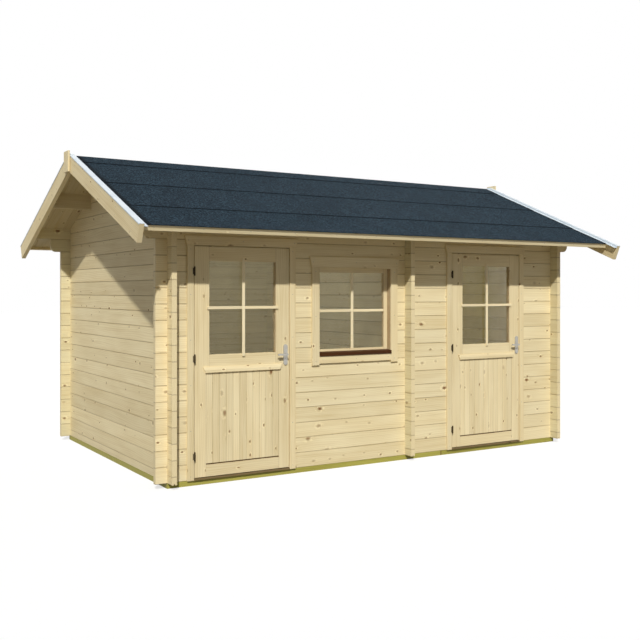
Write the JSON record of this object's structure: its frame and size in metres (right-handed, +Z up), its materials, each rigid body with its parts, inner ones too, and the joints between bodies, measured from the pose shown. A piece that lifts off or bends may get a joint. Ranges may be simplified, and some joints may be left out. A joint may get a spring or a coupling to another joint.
{
  "type": "log summer house",
  "caption": "Log cabin summer house with interlocked corners, felted gable roof, half-glazed doors on hinges and a framed window in its long front.",
  "frame": {"origin": "on the ground under the middle of the house", "axes": "+X along the ridge, to the right of someone facing the doors; -Y out of the front with the doors; +Z up"},
  "size_m": [5.3472, 4.0016, 2.9562],
  "materials": {
    "wall_logs": "planed spruce logs, untreated",
    "treated_beams": "pressure-treated softwood, olive green",
    "floor_boards": "planed spruce boards",
    "roof_boards": "planed spruce boards",
    "roof_felt": "dark blue-black bitumen felt",
    "trim_boards": "planed spruce trim boards",
    "white_trim": "white coated sheet",
    "joinery": "planed and sanded spruce joinery",
    "brown_sill": "dark brown stained wood",
    "thresholds": "weathered hardwood",
    "glass": "clear float glass",
    "dark_hinges": "dark coated steel",
    "lever_metal": "satin silver-grey"
  },
  "bodies": {
    "root": {"front_wall_left": "wall_logs", "front_wall_middle": "wall_logs", "front_wall_right": "wall_logs", "front_top_logs": "wall_logs", "back_wall": "wall_logs", "back_top_logs": "wall_logs", "left_wall": "wall_logs", "partition_wall": "wall_logs", "right_wall": "wall_logs", "ridge_purlin": "wall_logs", "side_purlins": "wall_logs", "foundation_beams": "treated_beams", "floor_joists": "treated_beams", "left_room_floor": "floor_boards", "right_room_floor": "floor_boards", "front_roof_boards": "roof_boards", "back_roof_boards": "roof_boards", "front_felt": "roof_felt", "back_felt": "roof_felt", "ridge_strip": "roof_felt", "left_barge_boards": "trim_boards", "right_barge_boards": "trim_boards", "finial_boards": "trim_boards", "eave_fascias": "trim_boards", "window_casing": "trim_boards", "left_door_casing": "trim_boards", "right_door_casing": "trim_boards", "verge_trims": "white_trim", "window_frame": "joinery", "window_sash": "joinery", "left_door_frame": "joinery", "right_door_frame": "joinery", "window_sill": "brown_sill", "door_thresholds": "thresholds", "window_glass": "glass", "left_door_hinge_pins": "dark_hinges", "right_door_hinge_pins": "dark_hinges"},
    "left_door": {"left_door_leaf": "joinery", "left_door_panel": "joinery", "left_door_glass": "glass", "left_door_weather_bar": "joinery", "left_door_hinge_knuckles": "dark_hinges", "left_door_lock_plates": "lever_metal"},
    "left_door_lever_set": {"left_door_lever": "lever_metal"},
    "right_door": {"right_door_leaf": "joinery", "right_door_panel": "joinery", "right_door_glass": "glass", "right_door_weather_bar": "joinery", "right_door_hinge_knuckles": "dark_hinges", "right_door_lock_plates": "lever_metal"},
    "right_door_lever_set": {"right_door_lever": "lever_metal"}
  },
  "joints": [
    {"name": "left_door_hinge", "type": "hinge", "parent": "root", "child": "left_door", "pos_m": [-1.9995, -1.47, 1], "axis": [0, 0, -1], "range_deg": [0, 110]},
    {"name": "left_door_lever_turn", "type": "hinge", "parent": "left_door", "child": "left_door_lever_set", "pos_m": [-1.124, -1.445, 1.076], "axis": [0, -1, 0], "range_deg": [0, 40], "stiffness_Nm_per_rad": 0.8, "springref_deg": -20.05},
    {"name": "right_door_hinge", "type": "hinge", "parent": "root", "child": "right_door", "pos_m": [0.7975, -1.47, 1], "axis": [0, 0, -1], "range_deg": [0, 110]},
    {"name": "right_door_lever_turn", "type": "hinge", "parent": "right_door", "child": "right_door_lever_set", "pos_m": [1.673, -1.445, 1.076], "axis": [0, -1, 0], "range_deg": [0, 40], "stiffness_Nm_per_rad": 0.8, "springref_deg": -20.05}
  ]
}
